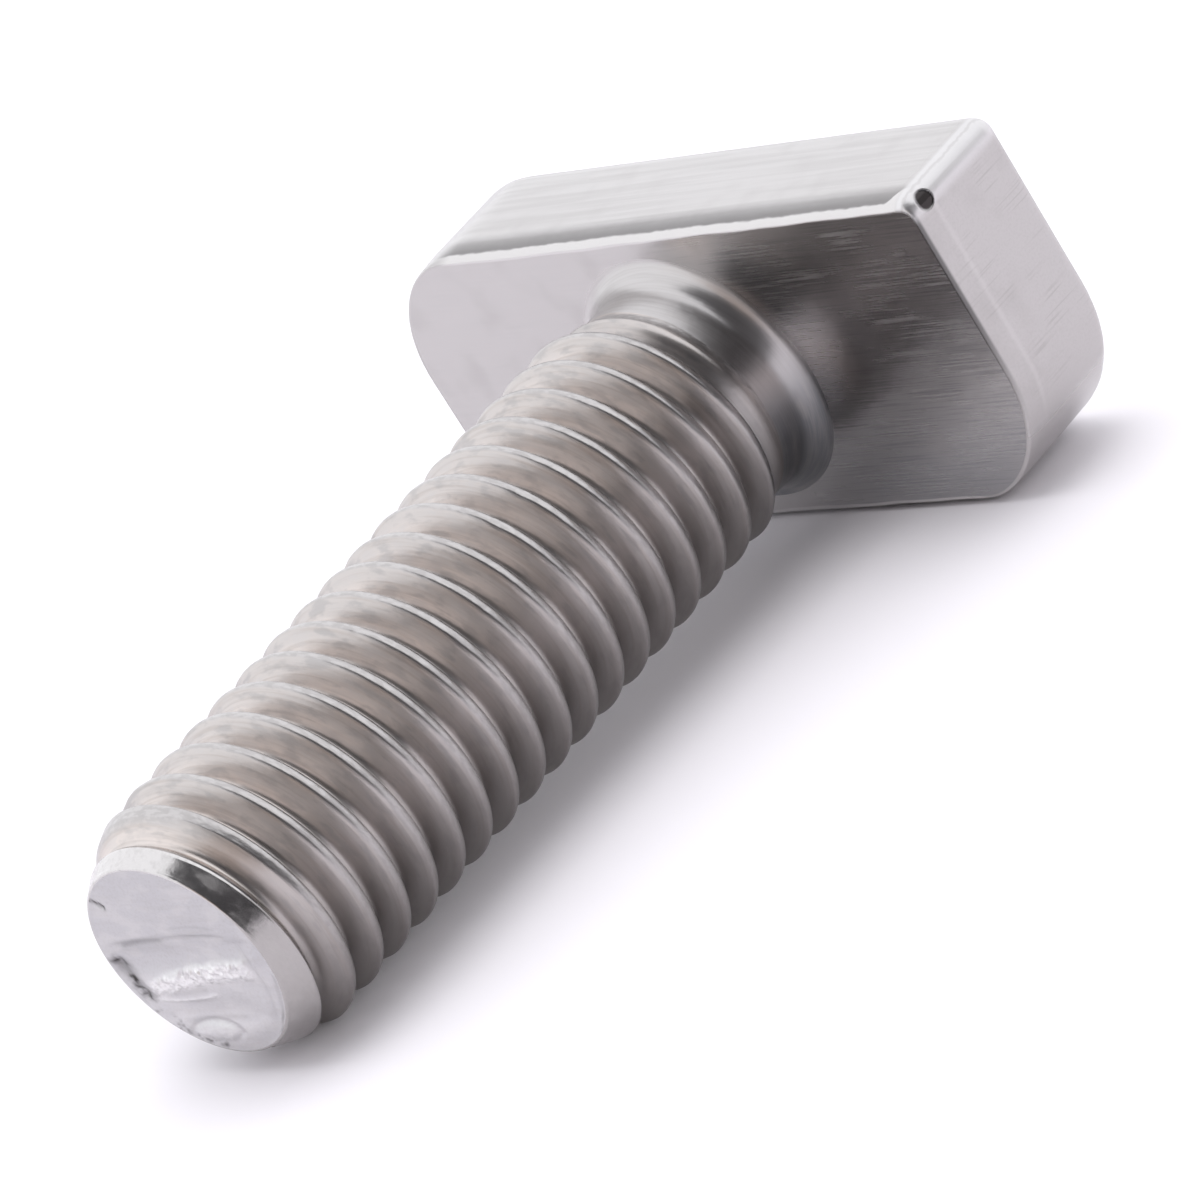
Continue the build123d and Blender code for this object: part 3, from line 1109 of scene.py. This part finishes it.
# The light tent is open from just right of the tip's direction round to behind the head's end.
TENT_LIGHT = (1.40, 1.42, 1.46, 1)
ROOM_LIGHT = (0.096, 0.094, 0.10, 1)
OPENING_EDGES = ((93, 8), (24.6, -14))  # which way each edge of the opening faces
OPENING_SOFTNESS = (-0.05, 0.05)
# Two patches, each with its direction and the cosines between which it fades in: a warm wall at
# the opening's left edge, and where the tent meets the table on the right.
WALL_LIGHT = (0.62, 0.52, 0.47, 1)
WALL = ((0, 8), (0.93, 0.985))
SEAM_LIGHT = (0.78, 0.78, 0.80, 1)
SEAM = ((124, 8), (0.88, 0.97))
# Two soft lamps: each one's direction as a vector, its size in metres and its power in watts.
# Steel doesn't mirror them.
LAMP_DISTANCE = 0.7
KEY_LAMP = ((0.0, 0.10, 0.99), 0.6, 1.7)
FILL_LAMP = ((0.10, 0.90, 0.36), 0.6, 2.6)


def towards(azimuth, elevation):
    """The unit vector that points this way from the bolt."""
    azimuth = math.radians(azimuth)
    elevation = math.radians(elevation)
    flat = math.cos(elevation)
    return Vector((flat * math.cos(azimuth), flat * math.sin(azimuth), math.sin(elevation)))


def floor():
    """A plain pale sheet under the bolt."""
    half = FLOOR_SIZE / 2
    corners = [(-half, -half, 0), (half, -half, 0), (half, half, 0), (-half, half, 0)]
    mesh = bpy.data.meshes.new("floor")
    mesh.from_pydata(corners, [], [(0, 1, 2, 3)])
    sheet = bpy.data.objects.new("floor", mesh)
    bpy.context.scene.collection.objects.link(sheet)
    material = bpy.data.materials.new("pale_floor")
    material.use_nodes = True
    shader = material.node_tree.nodes["Principled BSDF"]
    shader.inputs["Base Color"].default_value = PALE_FLOOR
    shader.inputs["Roughness"].default_value = FLOOR_ROUGHNESS
    mesh.materials.append(material)


def camera():
    """A long lens, looking down past the tip at the head."""
    data = bpy.data.cameras.new("camera")
    data.lens = LENS
    data.sensor_width = SENSOR_WIDTH
    data.clip_start = CLIP_START
    eye = bpy.data.objects.new("camera", data)
    back = towards(*CAMERA_DIRECTION)
    roll = Matrix.Rotation(math.radians(CAMERA_ROLL), 3, "Z")
    turn = (-back).to_track_quat("-Z", "Y").to_matrix() @ roll
    eye.matrix_world = Matrix.Translation(CAMERA_AIM + CAMERA_DISTANCE * back) @ turn.to_4x4()
    bpy.context.scene.collection.objects.link(eye)
    bpy.context.scene.camera = eye


def facing(tree, view, direction, zone):
    """1 where the view is near this direction, by the cosine between them, and 0 away from it."""
    node = tree.nodes.new("ShaderNodeVectorMath")
    node.operation = "DOT_PRODUCT"
    node.inputs[1].default_value = towards(*direction)
    tree.links.new(view, node.inputs[0])
    return soft_step(tree, node.outputs["Value"], zone)


def light_tent():
    """A white tent all round, but for an opening to a dim room, a warm wall and a greyer seam."""
    scene = bpy.context.scene
    scene.view_settings.view_transform = "Standard"
    scene.world = bpy.data.worlds.new("studio")
    scene.world.use_nodes = True
    tree = scene.world.node_tree
    view = tree.nodes.new("ShaderNodeTexCoord").outputs["Generated"]
    edges = [facing(tree, view, direction, OPENING_SOFTNESS) for direction in OPENING_EDGES]
    tent = mixed(tree, facing(tree, view, *SEAM), TENT_LIGHT, SEAM_LIGHT)
    colour = mixed(tree, maths(tree, "MULTIPLY", *edges), tent, ROOM_LIGHT)
    colour = mixed(tree, facing(tree, view, *WALL), colour, WALL_LIGHT)
    tree.links.new(colour, tree.nodes["Background"].inputs["Color"])


def lamp(name, aim_from, size, power):
    """A soft disk of light on the bolt from this direction."""
    data = bpy.data.lights.new(name, "AREA")
    data.shape = "DISK"
    data.size = size
    data.energy = power
    disk = bpy.data.objects.new(name, data)
    direction = Vector(aim_from).normalized()
    disk.location = direction * LAMP_DISTANCE
    disk.rotation_euler = direction.to_track_quat("Z", "Y").to_euler()
    disk.visible_glossy = False
    bpy.context.scene.collection.objects.link(disk)


for name, colour, roughness, dress in FINISHES:
    steel = Finish(name, colour, roughness)
    dress(steel)
    bolt.data.materials.append(steel.material)
floor()
camera()
light_tent()
lamp("key", *KEY_LAMP)
lamp("fill", *FILL_LAMP)
